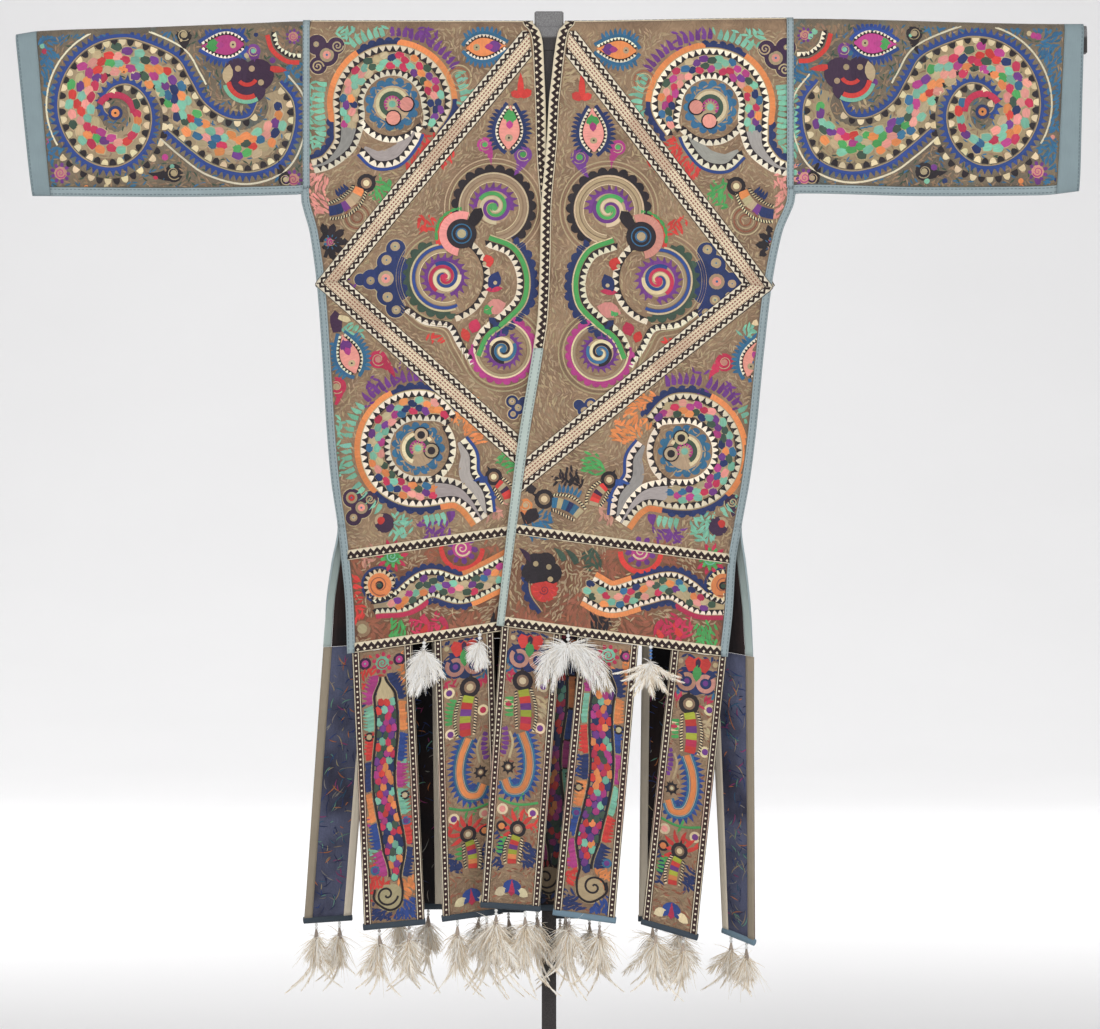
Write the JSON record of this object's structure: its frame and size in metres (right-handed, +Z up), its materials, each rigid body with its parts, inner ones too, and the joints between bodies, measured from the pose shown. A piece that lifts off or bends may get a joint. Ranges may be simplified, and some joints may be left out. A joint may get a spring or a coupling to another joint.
{
  "type": "embroidered robe on a t-bar display stand",
  "caption": "Open-fronted festival robe with straight sleeves, braid diamonds and hanging feather-tipped strips, shown on a T-bar stand.",
  "frame": {"origin": "on the floor, under the middle of the stand's base plate", "axes": "+Z up; the robe's front faces -Y; the wearer's right is at -X, and the sleeves run along X"},
  "size_m": [1.4005, 0.3, 1.51],
  "materials": {
    "body_silk": "felted silk ground covered with silk embroidery",
    "sleeve_silk": "grey-teal felted silk covered with silk embroidery",
    "strip_silk": "embroidered silk on cotton, edged with woven tape",
    "dark_lining": "dark indigo cotton, the strips' and the robe's inner side",
    "blue_cotton": "plain weave, light slate blue, matt",
    "pale_cotton": "plain weave, pale grey-green, matt",
    "woven_braid": "dark woven braid with cream zigzags and dots",
    "feather_tassel": "soft cream down",
    "beaded_tassel": "cream down under small glazed beads",
    "stand_black": "satin black powder coat"
  },
  "bodies": {
    "root": {"armhole_strip_left": "blue_cotton", "armhole_strip_right": "blue_cotton", "back_panel": "body_silk", "cuff_left": "blue_cotton", "cuff_right": "blue_cotton", "diamond_band_back_left": "woven_braid", "diamond_band_back_right": "woven_braid", "diamond_band_front_left": "woven_braid", "diamond_band_front_right": "woven_braid", "fringe_back_left_1": "feather_tassel", "fringe_back_left_2": "feather_tassel", "fringe_back_left_3": "feather_tassel", "fringe_back_right_1": "feather_tassel", "fringe_back_right_2": "feather_tassel", "fringe_back_right_3": "feather_tassel", "fringe_front_left_1": "feather_tassel", "fringe_front_left_2": "feather_tassel", "fringe_front_left_3": "feather_tassel", "fringe_front_right_1": "feather_tassel", "fringe_front_right_2": "feather_tassel", "fringe_front_right_3": "feather_tassel", "front_band_left": "woven_braid", "front_band_right": "woven_braid", "front_binding_left": "pale_cotton", "front_left_panel": "body_silk", "front_right_panel": "body_silk", "hem_band_lower_back": "woven_braid", "hem_band_lower_front_left": "woven_braid", "hem_band_lower_front_right": "woven_braid", "hem_band_upper_back": "woven_braid", "hem_band_upper_front_left": "woven_braid", "hem_band_upper_front_right": "woven_braid", "hem_panel_back": "body_silk", "hem_panel_front_left": "body_silk", "hem_panel_front_right": "body_silk", "hem_tassel_1": "beaded_tassel", "hem_tassel_2": "beaded_tassel", "hem_tassel_3": "beaded_tassel", "hem_tassel_4": "beaded_tassel", "sleeve_left_back": "sleeve_silk", "sleeve_left_front": "sleeve_silk", "sleeve_right_back": "sleeve_silk", "sleeve_right_front": "sleeve_silk", "stand_base": "stand_black", "stand_frame": "stand_black", "strip_back_left_1": "dark_lining", "strip_back_left_2": "dark_lining", "strip_back_left_3": "dark_lining", "strip_back_right_1": "dark_lining", "strip_back_right_2": "dark_lining", "strip_back_right_3": "dark_lining", "strip_front_left_1": "strip_silk", "strip_front_left_2": "strip_silk", "strip_front_left_3": "strip_silk", "strip_front_right_1": "strip_silk", "strip_front_right_2": "strip_silk", "strip_front_right_3": "strip_silk", "underarm_strip_left": "blue_cotton", "underarm_strip_right": "blue_cotton"}
  },
  "joints": []
}
